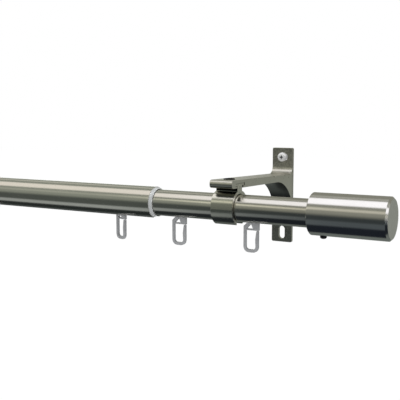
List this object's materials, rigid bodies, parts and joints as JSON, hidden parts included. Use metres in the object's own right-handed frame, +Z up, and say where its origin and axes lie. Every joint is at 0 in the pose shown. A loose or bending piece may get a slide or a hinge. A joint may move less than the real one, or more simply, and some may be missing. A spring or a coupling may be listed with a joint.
{
  "type": "telescopic curtain rod",
  "caption": "Telescopic slotted curtain rod on two clamp brackets, with turned end caps and gliders that run inside the tube.",
  "frame": {"origin": "on the wall, behind the middle of the right clamp and level with the rod's axis: centre of the right bracket's wall face", "axes": "+X along the rod to the right, +Y into the wall, +Z up"},
  "size_m": [0.7025, 0.1294, 0.0791],
  "materials": {
    "steel_tube": "satin brushed nickel plate",
    "cast_bracket": "satin nickel-coloured casting",
    "clamp_metal": "satin nickel-coloured extrusion",
    "turned_cap": "turned satin nickel",
    "zinc_screw": "bright zinc",
    "dark_screw": "black oxide",
    "grey_plastic": "moulded grey",
    "clear_plastic": "translucent white",
    "inner_plastic": "moulded black"
  },
  "bodies": {
    "right_bracket_set": {"right_bracket": "cast_bracket", "right_clamp": "clamp_metal", "right_clamp_screw": "dark_screw", "right_wall_screw": "zinc_screw"},
    "rail": {"inner_tube": "steel_tube", "tail_guide": "inner_plastic", "right_cap": "turned_cap", "right_cap_sleeve": "inner_plastic", "right_cap_plug": "inner_plastic", "right_cap_screw": "dark_screw"},
    "extension": {"outer_tube": "steel_tube", "end_collar": "clear_plastic", "left_cap": "turned_cap", "left_cap_sleeve": "inner_plastic", "left_cap_plug": "inner_plastic", "left_cap_screw": "dark_screw"},
    "left_bracket_set": {"left_bracket": "cast_bracket", "left_clamp": "clamp_metal", "left_clamp_screw": "dark_screw", "left_wall_screw": "zinc_screw"},
    "glider_1_sled": {"glider_1_carriage": "grey_plastic"},
    "glider_1_ring": {"glider_1_eye": "grey_plastic"},
    "glider_2_sled": {"glider_2_carriage": "grey_plastic"},
    "glider_2_ring": {"glider_2_eye": "grey_plastic"},
    "glider_3_sled": {"glider_3_carriage": "grey_plastic"},
    "glider_3_ring": {"glider_3_eye": "grey_plastic"},
    "glider_4_sled": {"glider_4_carriage": "grey_plastic"},
    "glider_4_ring": {"glider_4_eye": "grey_plastic"},
    "glider_5_sled": {"glider_5_carriage": "grey_plastic"},
    "glider_5_ring": {"glider_5_eye": "grey_plastic"},
    "glider_6_sled": {"glider_6_carriage": "grey_plastic"},
    "glider_6_ring": {"glider_6_eye": "grey_plastic"},
    "glider_7_sled": {"glider_7_carriage": "grey_plastic"},
    "glider_7_ring": {"glider_7_eye": "grey_plastic"},
    "glider_8_sled": {"glider_8_carriage": "grey_plastic"},
    "glider_8_ring": {"glider_8_eye": "grey_plastic"}
  },
  "joints": [
    {"name": "rail_shift", "type": "slide", "parent": "right_bracket_set", "child": "rail", "axis": [1, 0, 0], "range_m": [-0.015, 0.015]},
    {"name": "telescope", "type": "slide", "parent": "rail", "child": "extension", "axis": [-1, 0, 0], "range_m": [-0.034, 0.3]},
    {"name": "left_bracket_shift", "type": "slide", "parent": "extension", "child": "left_bracket_set", "axis": [1, 0, 0], "range_m": [-0.03, 0.03]},
    {"name": "glider_1_slide", "type": "slide", "parent": "extension", "child": "glider_1_sled", "axis": [1, 0, 0], "range_m": [-0.024, 0.02]},
    {"name": "glider_1_swivel", "type": "hinge", "parent": "glider_1_sled", "child": "glider_1_ring", "pos_m": [-0.4985, -0.1, -0.02244], "axis": [0, 0, 1], "range_deg": [-20, 20]},
    {"name": "glider_2_slide", "type": "slide", "parent": "rail", "child": "glider_2_sled", "axis": [1, 0, 0], "range_m": [-0.0135, 0.0135]},
    {"name": "glider_2_swivel", "type": "hinge", "parent": "glider_2_sled", "child": "glider_2_ring", "pos_m": [-0.369, -0.1, -0.02], "axis": [0, 0, 1], "range_deg": [-20, 20]},
    {"name": "glider_3_slide", "type": "slide", "parent": "rail", "child": "glider_3_sled", "axis": [1, 0, 0], "range_m": [-0.0135, 0.0135]},
    {"name": "glider_3_swivel", "type": "hinge", "parent": "glider_3_sled", "child": "glider_3_ring", "pos_m": [-0.327, -0.1, -0.02], "axis": [0, 0, 1], "range_deg": [-20, 20]},
    {"name": "glider_4_slide", "type": "slide", "parent": "rail", "child": "glider_4_sled", "axis": [1, 0, 0], "range_m": [-0.0135, 0.0135]},
    {"name": "glider_4_swivel", "type": "hinge", "parent": "glider_4_sled", "child": "glider_4_ring", "pos_m": [-0.285, -0.1, -0.02], "axis": [0, 0, 1], "range_deg": [-20, 20]},
    {"name": "glider_5_slide", "type": "slide", "parent": "rail", "child": "glider_5_sled", "axis": [1, 0, 0], "range_m": [-0.0135, 0.085]},
    {"name": "glider_5_swivel", "type": "hinge", "parent": "glider_5_sled", "child": "glider_5_ring", "pos_m": [-0.243, -0.1, -0.02], "axis": [0, 0, 1], "range_deg": [-20, 20]},
    {"name": "glider_6_slide", "type": "slide", "parent": "rail", "child": "glider_6_sled", "axis": [1, 0, 0], "range_m": [-0.04, 0.019]},
    {"name": "glider_6_swivel", "type": "hinge", "parent": "glider_6_sled", "child": "glider_6_ring", "pos_m": [-0.0955, -0.1, -0.02], "axis": [0, 0, 1], "range_deg": [0, 40]},
    {"name": "glider_7_slide", "type": "slide", "parent": "rail", "child": "glider_7_sled", "axis": [1, 0, 0], "range_m": [-0.019, 0.022]},
    {"name": "glider_7_swivel", "type": "hinge", "parent": "glider_7_sled", "child": "glider_7_ring", "pos_m": [-0.0419, -0.1, -0.02], "axis": [0, 0, 1], "range_deg": [-20, 20]},
    {"name": "glider_8_slide", "type": "slide", "parent": "rail", "child": "glider_8_sled", "axis": [1, 0, 0], "range_m": [-0.022, 0.038]},
    {"name": "glider_8_swivel", "type": "hinge", "parent": "glider_8_sled", "child": "glider_8_ring", "pos_m": [0.0179, -0.1, -0.02], "axis": [0, 0, 1], "range_deg": [-20, 20]}
  ]
}
